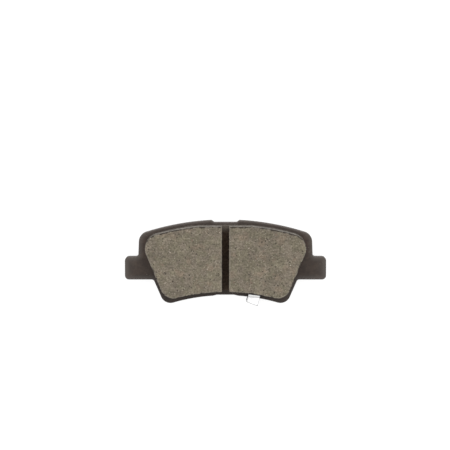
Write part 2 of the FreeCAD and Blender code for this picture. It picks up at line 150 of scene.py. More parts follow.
def top_loop(node):
    """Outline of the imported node's top face, anticlockwise seen from above."""
    source = bmesh.new()
    source.from_mesh(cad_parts[node].data)
    bmesh.ops.remove_doubles(source, verts=source.verts, dist=WELD)
    top = max(vert.co.z for vert in source.verts)
    steps = {}
    for face in source.faces:
        if face.normal.z > FACES_UP and all(abs(vert.co.z - top) < WELD for vert in face.verts):
            corners = [(round(vert.co.x / MM, 5), round(vert.co.y / MM, 5)) for vert in face.verts]
            for start, end in zip(corners, corners[1:] + corners[:1]):
                steps[(start, end)] = True
    source.free()
    border = {start: end for start, end in steps if (end, start) not in steps}
    loop = [min(border)]
    while border[loop[-1]] != loop[0]:
        loop.append(border[loop[-1]])
    return np.array(loop)


def sharp_corners(loop):
    """Numbers of the loop's sharp corners, or of its first point if it has none."""
    before = loop - np.roll(loop, 1, axis=0)
    after = np.roll(loop, -1, axis=0) - loop
    across = before[:, 0] * after[:, 1] - before[:, 1] * after[:, 0]
    turn = np.abs(np.arctan2(across, (before * after).sum(axis=1)))
    return [int(index) for index in np.nonzero(turn > SHARP_TURN)[0]] or [0]


def evenly(loop, step):
    """The loop with points about step apart, its sharp corners kept."""
    corners = sharp_corners(loop)
    points = []
    for number, first in enumerate(corners):
        last = corners[(number + 1) % len(corners)]
        length = (last - first) % len(loop) or len(loop)
        stretch = loop[[(first + index) % len(loop) for index in range(length + 1)]]
        along = np.concatenate([[0], np.cumsum(np.linalg.norm(np.diff(stretch, axis=0), axis=1))])
        count = max(1, round(along[-1] / step))
        wanted = np.linspace(0, along[-1], count + 1)[:-1]
        points.append(np.stack([np.interp(wanted, along, stretch[:, axis]) for axis in (0, 1)], axis=1))
    return np.concatenate(points)


def outward(loop):
    """Unit vectors pointing out of an anticlockwise loop at its points."""
    along = np.roll(loop, -1, axis=0) - np.roll(loop, 1, axis=0)
    along /= np.linalg.norm(along, axis=1)[:, None]
    return np.stack([along[:, 1], -along[:, 0]], axis=1)


def nearest(points, loop):
    """Distance from each point to the loop's points, and which of them is nearest."""
    distance = np.empty(len(points))
    index = np.empty(len(points), dtype=int)
    for first in range(0, len(points), BATCH):
        part = slice(first, first + BATCH)
        apart = np.linalg.norm(points[part, None] - loop[None], axis=2)
        index[part] = apart.argmin(axis=1)
        distance[part] = apart.min(axis=1)
    return distance, index


def inside(points, loop):
    """Which points lie inside the loop."""
    odd = np.zeros(len(points), dtype=bool)
    for start, end in zip(loop, np.roll(loop, -1, axis=0)):
        crosses = (start[1] > points[:, 1]) != (end[1] > points[:, 1])
        with np.errstate(divide="ignore", invalid="ignore"):
            where = (end[0] - start[0]) * (points[:, 1] - start[1]) / (end[1] - start[1]) + start[0]
        odd ^= crosses & (points[:, 0] < where)
    return odd


def cap_points(loop, step, keep=None):
    """Points in even rows inside the loop, clear of its edge, and only those that keep wants."""
    low, high = loop.min(axis=0), loop.max(axis=0)
    rows = []
    for number, y in enumerate(np.arange(low[1], high[1], step * ROW_RISE)):
        x = np.arange(low[0] + (number % 2) * step / 2, high[0], step)
        rows.append(np.stack([x, np.full(len(x), y)], axis=1))
    points = np.concatenate(rows)
    if keep is not None:
        points = points[keep(points)]
    points = points[inside(points, loop)]
    return points[nearest(points, loop)[0] > step * RIM_GAP]


# ---- pieces ---------------------------------------------------------------------------------------


def placed(name, data):
    """A new object in the scene."""
    item = bpy.data.objects.new(name, data)
    bpy.context.collection.objects.link(item)
    return item


def stand_for(piece, node):
    """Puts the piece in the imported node's place."""
    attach(piece, "root")
    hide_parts(node)


def paint(piece, name, values):
    """Stores a number for each vertex, for the materials to read."""
    layer = piece.data.attributes.new(name, "FLOAT", "POINT")
    layer.data.foreach_set("value", np.asarray(values, dtype=np.float32))


def vertex_places(piece):
    """The piece's vertices in millimetres."""
    flat = np.empty(len(piece.data.vertices) * 3)
    piece.data.vertices.foreach_get("co", flat)
    return flat.reshape(-1, 3) / MM


# ---- rough moulded blocks -------------------------------------------------------------------------

# The friction material. Its side has even rows up to EDGE_LEAD below the first of the rows near its face,
# whose drops below the face are EDGE_DROPS. Its side's roughness begins over FOOT_FADE above its foot.
# The slot, within SLOT_REACH of the middle, is moulded cleaner: SLOT_WEAR of the wear elsewhere. A pair
# says where a shade begins and where it ends.
FACE_SPACING = 0.24
SIDE_ROWS = 28
EDGE_DROPS = 0.9, 0.7, 0.52, 0.38, 0.27, 0.18, 0.11, 0.05, 0.0
EDGE_LEAD = 0.22
FOOT_FADE = 0.6
SIDE_SHRINK = 0.03
LEAST_BREAK = 0.06
CHIP_DEPTH = 0.26
CRUMB_DEPTH = 0.18
# ARC_WEAR_AND_SHADE sets how dark the break is painted along the whole outer arc: darker broken material
# and painted shade.
ARC_WEAR_AND_SHADE = 0.45
SLOT_REACH = 3.0
SLOT_WEAR = 0.4
FACES_ACROSS = 0.9
GRIT_DEPTH = 0.014
GROOVE_DEPTH = 0.012
ALONG_THE_PAD = 0.12, 1.0, 1.0
FACE_FADE = -0.9, -0.3
FACE_RIM_FADE = 0.1, 1.1
BREAK_FADE = -0.05, 0.25

# The underlayer. Only the part of its top that shows in the slot is divided.
UNDERLAYER_SPACING = 0.3
UNDERLAYER_ROWS = 11
SLOT_DIP = 0.10
FLASH_LEAST = 0.10
FLASH_MORE = 0.35
FLASH_FADE = 0.35
TOP_FADE = 0.3


def wall(count, rows):
    """Faces between rows of points, each row a closed ring of count points."""
    faces = []
    for low in range(0, (rows - 1) * count, count):
        for index in range(count):
            following = (index + 1) % count
            faces.append((low + index, low + following, low + count + following, low + count + index))
    return faces


def cap(loop, grid, first, start, height):
    """Faces over the loop, whose own points are numbered from first, and the points that they need inside
    it, numbered from start."""
    count = len(loop)
    flat = np.concatenate([loop, grid])
    ring = [(index, (index + 1) % count) for index in range(count)]
    _, _, triangles, origins, _, _ = delaunay_2d_cdt(
        [Vector(point) for point in flat], ring, [], 1, SAME_POINT
    )
    source = np.array([each[0] for each in origins])
    within = flat[source[source >= count]]
    number = np.empty(len(source), dtype=int)
    number[source < count] = first + source[source < count]
    number[source >= count] = start + np.arange(len(within))
    faces = [tuple(int(number[index]) for index in triangle) for triangle in triangles]
    return np.column_stack([within, height(within)]), faces


def moulded_block(name, loop, levels, grid, proud, height):
    """A closed block over the loop: rows of points up its side at the levels, a cap of even points and a
    plain underside. proud(points, level) says how far each point of a row stands out, and height(points)
    how high each point of the cap is. The cap's faces are in material slot 0 and the others in slot 1."""
    count = len(loop)
    facing = outward(loop)
    rows = []
    for level in levels:
        row = np.column_stack([loop, np.full(count, level)])
        row[:, :2] += facing * proud(row, level)[:, None]
        rows.append(row)
    side = wall(count, len(rows))
    within, top = cap(loop, grid, (len(rows) - 1) * count, len(rows) * count, height)
    underside = tuple(reversed(range(count)))
    faces = side + top + [underside]
    mesh = bpy.data.meshes.new(name)
    mesh.from_pydata((np.concatenate([*rows, within]) * MM).tolist(), [], faces)
    mesh.polygons.foreach_set("material_index", [1] * len(side) + [0] * len(top) + [1])
    mesh.polygons.foreach_set("use_smooth", [True] * len(faces))
    mesh.update()
    return placed(name, mesh)


def worn_edge(rim, seed):
    """How far the edge between face and side is broken at each point of the rim: a fine break all the way,
    with chips and crumbs, most of them along the outer arc. Returns the break, and how chipped it is from
    0 to 1, with a floor along the whole outer arc: the materials paint it dark, as darker broken material
    and painted shade."""
    places = flattened(rim)
    outer = ramp(outward(rim)[:, 1], 0.2, 0.8)
    fine = noise(places, 0.9, seed) * 0.08 + noise(places, 0.35, seed + 1) * 0.06
    more_chips, more_crumbs = 0.22 * outer, 0.18 * outer
    chips = ramp(noise(places, 1.5, seed + 2), 0.66 - more_chips, 0.90 - more_chips)
    crumbs = ramp(noise(places, 0.7, seed + 3), 0.68 - more_crumbs, 0.90 - more_crumbs)
    broken = LEAST_BREAK + fine + chips * CHIP_DEPTH + crumbs * CRUMB_DEPTH
    return broken, np.maximum(np.maximum(chips, crumbs), ARC_WEAR_AND_SHADE * outer)


def rounded(broken, distance):
    """How deep a round break cuts at a distance from the edge."""
    reach = np.clip(broken - distance, 0, None)
    return broken - np.sqrt(np.clip(broken**2 - reach**2, 0, None))


def friction_segment(name, node, seed):
    """Half of the friction material: a ground face with pores, moulded sides and a chipped edge."""
    loop = evenly(top_loop(node), FACE_SPACING)
    near_edge = [FRICTION_FACE - drop for drop in EDGE_DROPS]
    levels = [*np.linspace(UNDERLAYER_FACE, near_edge[0] - EDGE_LEAD, SIDE_ROWS), *near_edge]
    in_slot = (np.abs(loop[:, 0]) < SLOT_REACH) & (np.abs(outward(loop)[:, 0]) > FACES_ACROSS)
    calm = np.where(in_slot, SLOT_WEAR, 1.0)
    broken, chipped = worn_edge(loop, seed)
    broken, chipped = broken * calm, chipped * calm

    def proud(points, level):
        rough = lumps(points, seed + 4, (1.6, 0.12), (0.5, 0.09))
        pores = pits(points, seed + 6, grain=0.8, low=0.68, high=0.86, depth=0.16)
        fade = min(1, (level - UNDERLAYER_FACE) / FOOT_FADE)
        return (rough - pores - SIDE_SHRINK) * calm * fade - rounded(broken, FRICTION_FACE - level)

    def height(points):
        apart, index = nearest(points, loop)
        places = flattened(points)
        pores = pits(places, seed + 7, grain=0.75, low=0.74, high=0.90, depth=0.16)
        hollows = pits(places, seed + 8, grain=1.7, low=0.80, high=0.93, depth=0.22)
        grit = noise(places, 0.5, seed + 9) * GRIT_DEPTH
        grooves = noise(places * ALONG_THE_PAD, 0.6, seed + 10) * GROOVE_DEPTH
        return FRICTION_FACE - rounded(broken[index], apart) - np.maximum(pores, hollows) - grit - grooves

    piece = moulded_block(name, loop, levels, cap_points(loop, FACE_SPACING), proud, height)
    places = vertex_places(piece)
    apart, index = nearest(places[:, :2], loop)
    near_face = ramp(places[:, 2] - FRICTION_FACE, *FACE_FADE)
    on_rim = 1 - ramp(apart, *FACE_RIM_FADE)
    on_break = 1 - ramp(apart - broken[index], *BREAK_FADE)
    paint(piece, "rim", on_rim * near_face)
    paint(piece, "chipped", on_break * chipped[index] * near_face)
    piece.data.materials.append(ground_friction())
    piece.data.materials.append(moulded_friction())
    stand_for(piece, node)


def underlayer():
    """Layer under the friction material: a rough band round the block with a little flash at its foot,
    the slot's floor, and the plugs in the plate's keying holes."""
    loop = evenly(top_loop("underlayer"), UNDERLAYER_SPACING)

    def under_slot(points):
        return np.abs(points[:, 0]) < SLOT_REACH

    def proud(points, level):
        rough = lumps(points, 71, (1.3, 0.12), (0.5, 0.10)) * min(1, (UNDERLAYER_FACE - level) / TOP_FADE)
        flash = FLASH_LEAST + FLASH_MORE * noise(flattened(points[:, :2]), 1.9, 73)
        return rough + flash * math.exp(-(level - FILM_FACE) / FLASH_FADE)

    def height(points):
        return UNDERLAYER_FACE - noise(flattened(points), 0.9, 74) * SLOT_DIP * under_slot(points)

    levels = np.linspace(FILM_FACE, UNDERLAYER_FACE, UNDERLAYER_ROWS)
    grid = cap_points(loop, UNDERLAYER_SPACING, under_slot)
    piece = moulded_block("underlayer_skin", loop, levels, grid, proud, height)
    add_plugs(piece.data)
    piece.data.materials.append(slot_floor())
    piece.data.materials.append(underlayer_mix())
    stand_for(piece, "underlayer")


def add_plugs(mesh):
    """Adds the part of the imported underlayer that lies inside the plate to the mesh, as closed plugs."""
    packed = bmesh.new()
    packed.from_mesh(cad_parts["underlayer"].data)
    bmesh.ops.remove_doubles(packed, verts=packed.verts, dist=WELD)
    cut = bmesh.ops.bisect_plane(
        packed,
        geom=packed.verts[:] + packed.edges[:] + packed.faces[:],
        plane_co=(0, 0, PLATE_FACE * MM),
        plane_no=(0, 0, 1),
        clear_outer=True,
    )
    rims = [item for item in cut["geom_cut"] if isinstance(item, bmesh.types.BMEdge)]
    bmesh.ops.holes_fill(packed, edges=rims)
    packed.from_mesh(mesh)
    packed.to_mesh(mesh)
    packed.free()


# ---- metal pieces ---------------------------------------------------------------------------------

FLAT_ENOUGH = math.radians(0.5)
BEVEL_SEGMENTS = 3

# The plate's front is divided where it shows and as far as UNDER_LINING beneath the lining. Its paler rim,
# a painted highlight, is faintest at its lower edge, which faces away from the key light, at
# LEAST_RIM_LIGHT of its strength, and stronger by RIGHT_RIM_LIGHT on the right.
PLATE_SPACING = 0.7
PLATE_LOOP_STEP = 0.4
CORNER_GAP = 0.4
UNDER_LINING = 1.5
FLUSH = 1e-3
LOWER_EDGE = -14.0, -8.0
RIGHT_EDGE = 20.0, 34.0
FRONT_FADE = -1.2, -0.3
RIM_FADE = -0.4, 2.4
FOOT_REACH = 0.2, 2.8
LEAST_RIM_LIGHT = 0.1
RIGHT_RIM_LIGHT = 0.5


def seamless_mesh(name, node, angle):
    """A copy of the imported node's mesh with its seams closed, sharp only at corners past the angle."""
    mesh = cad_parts[node].data.copy()
    mesh.name = name
    shape = bmesh.new()
    shape.from_mesh(mesh)
    bmesh.ops.remove_doubles(shape, verts=shape.verts, dist=WELD)
    bmesh.ops.dissolve_limit(shape, angle_limit=FLAT_ENOUGH, verts=shape.verts, edges=shape.edges)
    for face in shape.faces:
        face.smooth = True
    for edge in shape.edges:
        edge.smooth = len(edge.link_faces) != 2 or edge.calc_face_angle(0) <= angle
    shape.to_mesh(mesh)
    shape.free()
    return mesh


def smooth_copy(name, node, materials, degrees, bevel=0.0):
    """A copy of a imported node, soft along its curves and crisp at its corners, which may be broken by a
    small bevel. A second material goes to the bevel."""
    angle = math.radians(degrees)
    mesh = seamless_mesh(name, node, angle)
    mesh.materials.clear()
    for material in materials:
        mesh.materials.append(material)
    piece = placed(name, mesh)
    if bevel:
        rounding = piece.modifiers.new("edges", "BEVEL")
        rounding.width = bevel * MM
        rounding.segments = BEVEL_SEGMENTS
        rounding.limit_method = "ANGLE"
        rounding.angle_limit = angle
        if len(materials) > 1:
            rounding.material = 1
    piece.modifiers.new("shading", "WEIGHTED_NORMAL").keep_sharp = True
    stand_for(piece, node)
    return piece


def drop_loose(shape):
    """Deletes the shape's edges and vertices that belong to no face."""
    loose = [edge for edge in shape.edges if not edge.link_faces]
    bmesh.ops.delete(shape, geom=loose, context="EDGES")
    loose = [vert for vert in shape.verts if not vert.link_faces]
    bmesh.ops.delete(shape, geom=loose, context="VERTS")


def divide_front(piece, loop, spacing, keep):
    """Cuts the piece's flat front face, which the loop goes round, into small triangles where keep wants
    them."""
    shape = bmesh.new()
    shape.from_mesh(piece.data)
    top = max(vert.co.z for vert in shape.verts)
    front = [face for face in shape.faces if all(vert.co.z > top - WELD for vert in face.verts)]
    corners = sorted({vert for face in front for vert in face.verts}, key=lambda vert: vert.index)
    number = {vert: index for index, vert in enumerate(corners)}
    outline = np.array([[vert.co.x, vert.co.y] for vert in corners]) / MM
    old = [[number[vert] for vert in face.verts] for face in front]
    grid = cap_points(loop, spacing, keep)
    grid = grid[nearest(grid, outline)[0] > spacing * CORNER_GAP]
    flat = [Vector(point) for point in np.concatenate([outline, grid])]
    found, _, triangles, origins, _, covers = delaunay_2d_cdt(flat, [], old, 1, SAME_POINT)
    bmesh.ops.delete(shape, geom=front, context="FACES_ONLY")
    place = []
    for point, source in zip(found, origins):
        first = min(source) if source else len(corners)
        place.append(corners[first] if first < len(corners) else shape.verts.new((*(point * MM), top)))
    for triangle, cover in zip(triangles, covers):
        if cover:
            shape.faces.new([place[index] for index in triangle]).smooth = True
    drop_loose(shape)
    shape.to_mesh(piece.data)
    shape.free()


def plate():
    """The backing plate, with its front face divided so that its shades can follow its edges: "rim" is how
    strong the painted highlight is near its own edge, less so along the lower left, and "foot" how near the
    lining is, for the painted shade there."""
    piece = smooth_copy("plate", "backing_plate", [coated_steel()], 35)
    outline = top_loop("backing_plate")
    lining = evenly(top_loop("underlayer"), PLATE_LOOP_STEP)
    rim = evenly(outline, PLATE_LOOP_STEP)

    def shows(points):
        return ~inside(points, lining) | (nearest(points, lining)[0] < UNDER_LINING)

    divide_front(piece, outline, PLATE_SPACING, shows)
    places = vertex_places(piece)
    x, y, z = places.T
    on_front = z > PLATE_FACE - FLUSH
    from_rim = np.where(on_front, nearest(places[:, :2], rim)[0], 0)
    from_lining = nearest(places[:, :2], lining)[0]
    lower = 1 - ramp(y, *LOWER_EDGE)
    # Painted highlight along the rim: weakest along the lower edge, away from the key light, and stronger
    # on the right there.
    paler_rim = 1 - lower * (1 - LEAST_RIM_LIGHT - RIGHT_RIM_LIGHT * ramp(x, *RIGHT_EDGE))
    near_front = ramp(z - PLATE_FACE, *FRONT_FADE)
    paint(piece, "rim", (1 - ramp(from_rim, *RIM_FADE)) * near_front * paler_rim)
    paint(piece, "foot", 1 - ramp(from_lining, *FOOT_REACH))


# ---- node trees -----------------------------------------------------------------------------------

# Grains are bent by noise, as shares of their size. A speck is full out to SPECK_CORE of its reach.
GRAIN_WOBBLES = 1.8
GRAIN_BEND = 0.9
SPECK_CHOICE = 0.02
SPECK_CORE = 0.55

# Where the Mix node has its colours.
MIX_FIRST = 6
MIX_SECOND = 7
MIX_RESULT = 2


class Tree:
    """A node tree, with short calls for making and joining its nodes."""

    def __init__(self, tree):
        self.tree = tree

    def add(self, kind, **settings):
        node = self.tree.nodes.new(kind)
        for key, value in settings.items():
            setattr(node, key, value)
        return node

    def feed(self, value, target):
        """Gives an input an output to follow, or else a number or a colour."""
        if isinstance(value, bpy.types.NodeSocket):
            self.tree.links.new(value, target)
        elif isinstance(value, tuple):
            target.default_value = (*value, 1)
        else:
            target.default_value = value

    def maths(self, operation, *values):
        """A sum on outputs and numbers."""
        node = self.add("ShaderNodeMath", operation=operation)
        for value, target in zip(values, node.inputs):
            self.feed(value, target)
        return node.outputs[0]

    def between(self, value, low, high, first=0.0, last=1.0, smooth=False):
        """first where the value is low, last where it is high."""
        node = self.add("ShaderNodeMapRange", interpolation_type="SMOOTHSTEP" if smooth else "LINEAR")
        inputs = ("Value", "From Min", "From Max", "To Min", "To Max")
        for number, name in zip((value, low, high, first, last), inputs):
            self.feed(number, node.inputs[name])
        return node.outputs["Result"]

    def step(self, value, low, high):
        """0 at low, 1 at high, smooth between."""
        return self.between(value, low, high, smooth=True)


class Shades(Tree):
    """A material's node tree, with short calls for what the materials below share. Places, grains and
    depths are in millimetres, and a base is a colour socket that each call passes on changed."""

    def __init__(self, name):
        self.material = bpy.data.materials.new(name)
        self.material.use_nodes = True
        super().__init__(self.material.node_tree)
        self.shader = self.tree.nodes["Principled BSDF"]
        place = self.add("ShaderNodeTexCoord").outputs["Object"]
        scaled = self.add("ShaderNodeVectorMath", operation="SCALE")
        scaled.inputs["Scale"].default_value = 1 / MM
        self.feed(place, scaled.inputs[0])
        self.place = scaled.outputs[0]

    def stretched(self, scale):
        """The place, multiplied along each axis."""
        node = self.add("ShaderNodeVectorMath", operation="MULTIPLY")
        self.feed(self.place, node.inputs[0])
        node.inputs[1].default_value = scale
        return node.outputs[0]

    def along(self, axis):
        """The place along X, Y or Z."""
        node = self.add("ShaderNodeSeparateXYZ")
        self.feed(self.place, node.inputs[0])
        return node.outputs[axis]

    def across_strip(self):
        """The place across the wear indicator's strip, from its middle line, positive to the right."""
        rivet = sum(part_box("wear_indicator_rivet"), Vector()) / 2 / MM
        facing = Vector((math.cos(STRIP_LEAN), -math.sin(STRIP_LEAN), 0))
        node = self.add("ShaderNodeVectorMath", operation="DOT_PRODUCT")
        self.feed(self.place, node.inputs[0])
        node.inputs[1].default_value = facing
        return self.maths("SUBTRACT", node.outputs["Value"], facing.dot(rivet))

    def painted(self, name):
        """A number stored on the mesh's vertices."""
        return self.add("ShaderNodeAttribute", attribute_name=name).outputs["Fac"]

    def clouds(self, grain, detail=2.0, place=None):
        """Noise with lumps about grain across."""
        node = self.add("ShaderNodeTexNoise")
        node.inputs["Scale"].default_value = 1 / grain
        node.inputs["Detail"].default_value = detail
        self.feed(place or self.place, node.inputs["Vector"])
        return node.outputs[0]

    def patches(self, grain, detail, low, high):
        """Noise with lumps about grain across, 0 where it is low and 1 where it is high."""
        return self.step(self.clouds(grain, detail), low, high)

    def grains(self, size):
        """Uneven grains about size across: a random number for each, and the distance from its middle."""
        wobble = self.add("ShaderNodeTexNoise")
        wobble.inputs["Scale"].default_value = GRAIN_WOBBLES / size
        self.feed(self.place, wobble.inputs["Vector"])
        bent = self.add("ShaderNodeVectorMath", operation="MULTIPLY_ADD")
        self.feed(wobble.outputs["Color"], bent.inputs[0])
        bent.inputs[1].default_value = (size * GRAIN_BEND,) * 3
        self.feed(self.place, bent.inputs[2])
        node = self.add("ShaderNodeTexVoronoi")
        node.inputs["Scale"].default_value = 1 / size
        self.feed(bent.outputs[0], node.inputs["Vector"])
        pick = self.add("ShaderNodeSeparateColor")
        self.feed(node.outputs["Color"], pick.inputs[0])
        return pick.outputs[0], node.outputs["Distance"]

    def mix(self, share, first, second, blend="MIX"):
        """Goes from the first colour to the second, or to their blend. Each is an output or a colour."""
        node = self.add("ShaderNodeMix", data_type="RGBA", blend_type=blend)
        self.feed(share, node.inputs["Factor"])
        self.feed(first, node.inputs[MIX_FIRST])
        self.feed(second, node.inputs[MIX_SECOND])
        return node.outputs[MIX_RESULT]

    def tinted(self, base, mask, share, colour):
        """The base with a share of a colour where the mask is 1."""
        return self.mix(self.maths("MULTIPLY", mask, share), base, colour)

    def lightened(self, base, mask, darkest, lightest):
        """The base times a grey that goes from darkest to lightest with the mask."""
        grey = self.mix(mask, (darkest,) * 3, (lightest,) * 3)
        return self.mix(1.0, base, grey, "MULTIPLY")

    def specked(self, base, size, share, colour, reach=0.38):
        """Flecks of a colour in a share of the grains. Each fills its grain's middle, as far as reach."""
        pick, apart = self.grains(size)
        chosen = self.step(pick, 1 - share, 1 - share + SPECK_CHOICE)
        middle = self.step(apart, reach, reach * SPECK_CORE)
        return self.mix(self.maths("MULTIPLY", chosen, middle), base, colour)

    def colour(self, source):
        self.feed(source, self.shader.inputs["Base Color"])

    def roughness(self, source, low, high):
        self.feed(self.between(source, 0, 1, low, high), self.shader.inputs["Roughness"])

    def relief(self, *layers):
        """Bump from (height, depth) pairs."""
        normal = None
        for height, depth in layers:
            node = self.add("ShaderNodeBump")
            node.inputs["Distance"].default_value = depth * MM
            self.feed(height, node.inputs["Height"])
            if normal is not None:
                self.feed(normal, node.inputs["Normal"])
            normal = node.outputs["Normal"]
        self.feed(normal, self.shader.inputs["Normal"])

    def set(self, **values):
        for key, value in values.items():
            self.shader.inputs[key.replace("_", " ")].default_value = value


MATERIALS = {}


def once(build):
    """Builds a material the first time that it is asked for."""

    def get():
        if build.__name__ not in MATERIALS:
            MATERIALS[build.__name__] = build()
        return MATERIALS[build.__name__]

    return get


# ---- materials ------------------------------------------------------------------------------------

# The broken edge's colour and share: darker broken material, with painted shade in the chips' hollows.
BROKEN_AND_SHADED_EDGE = (0.026, 0.019, 0.013)
BROKEN_AND_SHADED_SHARE = 0.9


@once
def ground_friction():
    """Friction material ground flat: grey-tan binder with dark graphite, pale mineral and a few rusty
    grains, and faint grinding lines along the pad. Its rim is paler and greyer, and its broken edge is
    dark:
    darker broken material, with painted shade in the chips' hollows and along the outer arc."""
    olive, tan, ochre = (0.149, 0.130, 0.092), (0.156, 0.131, 0.100), (0.164, 0.131, 0.096)
    dust, paler_rim = (0.080, 0.068, 0.052), (0.205, 0.184, 0.158)
    shades = Shades("ground_friction")
    base = shades.mix(shades.patches(3.6, 2.0, 0.38, 0.62), olive, tan)
    base = shades.mix(shades.patches(5.0, 3.0, 0.56, 0.68), base, ochre)
    base = shades.lightened(base, shades.patches(9.0, 3.0, 0.36, 0.64), 0.89, 1.09)
    base = shades.lightened(base, shades.patches(2.6, 3.0, 0.36, 0.64), 0.90, 1.09)
    base = shades.lightened(base, shades.patches(0.9, 5.0, 0.30, 0.70), 0.74, 1.26)
    lines = shades.clouds(1.0, 3.0, shades.stretched((0.10, 2.4, 1.0)))
    base = shades.lightened(base, shades.step(lines, 0.25, 0.75), 0.93, 1.05)
    base = shades.specked(base, 0.60, 0.24, dust, 0.46)
    base = shades.specked(base, 0.66, 0.17, (0.262, 0.232, 0.180), 0.44)
    base = shades.specked(base, 1.2, 0.08, (0.158, 0.118, 0.088), 0.48)
    base = shades.specked(base, 1.0, 0.13, (0.042, 0.034, 0.027), 0.40)
    base = shades.specked(base, 1.9, 0.12, (0.038, 0.031, 0.024), 0.26)
    base = shades.specked(base, 1.2, 0.03, (0.40, 0.37, 0.31), 0.28)
    # Paler and greyer within about a millimetre of the face's edge.
    base = shades.tinted(base, shades.painted("rim"), 0.35, paler_rim)
    base = shades.tinted(base, shades.painted("chipped"), BROKEN_AND_SHADED_SHARE, BROKEN_AND_SHADED_EDGE)
    shades.colour(base)
    shades.roughness(shades.clouds(0.6), 0.72, 0.92)
    shades.relief((shades.clouds(0.35, 3.0), 0.03), (lines, 0.02))
    shades.set(Specular_IOR_Level=0.25)
    return shades.material


@once
def moulded_friction():
    """The friction material's moulded sides: greyer and dustier than the ground face. Painted shade darkens
    them near the face and near the foot, so that they are palest in a band at half height."""
    dark_grey, grey = (0.090, 0.079, 0.067), (0.145, 0.131, 0.114)
    shades = Shades("moulded_friction")
    base = shades.mix(shades.patches(1.8, 4.0, 0.3, 0.7), dark_grey, grey)
    dust = shades.clouds(1.6, 3.0, shades.stretched((1, 1, 0.35)))
    base = shades.lightened(base, shades.step(dust, 0.36, 0.66), 0.76, 1.28)
    # Painted shade near the foot and near the face, leaving a paler band at half height.
    height = shades.along("Z")
    above_foot = shades.step(height, UNDERLAYER_FACE + 0.8, UNDERLAYER_FACE + 2.8)
    below_face = shades.step(height, FRICTION_FACE - 1.0, FRICTION_FACE - 2.8)
    base = shades.lightened(base, shades.maths("MULTIPLY", above_foot, below_face), 0.78, 1.20)
    base = shades.lightened(base, shades.patches(0.8, 4.0, 0.30, 0.70), 0.75, 1.25)
    base = shades.specked(base, 0.9, 0.14, (0.045, 0.039, 0.033))
    base = shades.specked(base, 0.7, 0.09, (0.26, 0.24, 0.21))
    base = shades.specked(base, 1.2, 0.04, (0.128, 0.094, 0.074))
    # Darker broken material and painted shade at the broken edge.
    base = shades.tinted(base, shades.painted("chipped"), BROKEN_AND_SHADED_SHARE, BROKEN_AND_SHADED_EDGE)
    shades.colour(base)
    shades.roughness(shades.clouds(0.8), 0.8, 0.95)
    shades.relief((shades.clouds(0.4, 4.0), 0.05))
    shades.set(Specular_IOR_Level=0.25)
    return shades.material


@once
def underlayer_mix():
    """The underlayer: dark brown, coarser than the friction material, with pale and dark flecks."""
    dark_brown, brown = (0.040, 0.032, 0.026), (0.082, 0.070, 0.058)
    shades = Shades("underlayer_mix")
    base = shades.mix(shades.patches(1.2, 4.0, 0.3, 0.7), dark_brown, brown)
    base = shades.specked(base, 0.7, 0.15, (0.026, 0.021, 0.018))
    base = shades.specked(base, 0.6, 0.08, (0.17, 0.15, 0.125))
    shades.colour(base)
    shades.roughness(shades.clouds(0.8), 0.75, 0.92)
    shades.relief((shades.clouds(0.35, 4.0), 0.05))
    shades.set(Specular_IOR_Level=0.25)
    return shades.material


@once
def slot_floor():
    """The slot's floor, dark where the coat has settled on the underlayer and paler at both open ends: at
    the upper end this is painted light, where light falls in.
    """
    dark_coat, coat = (0.025, 0.014, 0.008), (0.044, 0.027, 0.016)
    lit_upper_end, lower_end = (0.105, 0.088, 0.072), (0.088, 0.074, 0.062)
    shades = Shades("slot_floor")
    rise = shades.along("Y")
    base = shades.mix(shades.patches(1.4, 4.0, 0.3, 0.7), dark_coat, coat)
    base = shades.specked(base, 0.8, 0.10, (0.015, 0.011, 0.009))
    # Painted light where light falls in at the slot's upper open end.
    base = shades.mix(shades.step(rise, LINING_TOP - 4.45, LINING_TOP + 0.05), base, lit_upper_end)
    base = shades.mix(shades.step(rise, SLOT_FOOT + 0.7, SLOT_FOOT), base, lower_end)
    shades.colour(base)
    shades.roughness(shades.clouds(0.8), 0.6, 0.85)
    shades.relief((shades.clouds(0.5, 4.0), 0.06))
    shades.set(Specular_IOR_Level=0.2)
    return shades.material


@once
def coated_steel():
    """Dark brown powder coat with a fine orange peel and a little dust. Painted shade makes it darker
    towards the pad's inner edge and at the lining's foot, and painted light makes it paler along its own
    rim and at the ends of the ears."""
    dark_coat, coat = (0.042, 0.027, 0.020), (0.050, 0.035, 0.026)
    # Colours of painted light and shade: rubbed for the rim's highlight, grime for the lining's foot,
    # lit_ear_end for the ends of the ears.
    paler_rim, lining_shade, lit_ear_end = (0.110, 0.100, 0.092), (0.025, 0.012, 0.008), (0.075, 0.066, 0.058)
    shades = Shades("coated_steel")
    base = shades.mix(shades.patches(6.0, 3.0, 0.3, 0.7), dark_coat, coat)
    base = shades.lightened(base, shades.clouds(0.9, 4.0), 0.58, 1.42)
    base = shades.lightened(base, shades.patches(2.4, 3.0, 0.36, 0.64), 0.84, 1.14)
    # Painted shade: darker towards the pad's inner edge, away from the key light.
    base = shades.lightened(base, shades.step(shades.along("Y"), -19.0, 15.0), 0.60, 1.01)
    # Painted highlight along the plate's own rim.
    base = shades.tinted(base, shades.painted("rim"), 0.39, paler_rim)
    # Painted shade at the lining's foot.
    base = shades.tinted(base, shades.painted("foot"), 0.34, lining_shade)
    # Painted light: paler towards the ends of the ears.
    from_middle = shades.maths("ABSOLUTE", shades.along("X"))
    base = shades.tinted(base, shades.step(from_middle, PLATE_HALF - 6.4, PLATE_HALF + 0.1), 0.30, lit_ear_end)
    base = shades.specked(base, 1.1, 0.04, (0.10, 0.088, 0.075), 0.22)
    shades.colour(base)
    shades.roughness(shades.clouds(1.2, 3.0), 0.50, 0.66)
    shades.relief((shades.clouds(0.5, 2.0), 0.012), (shades.clouds(0.12, 2.0), 0.004))
    shades.set(Specular_IOR_Level=0.32)
    return shades.material


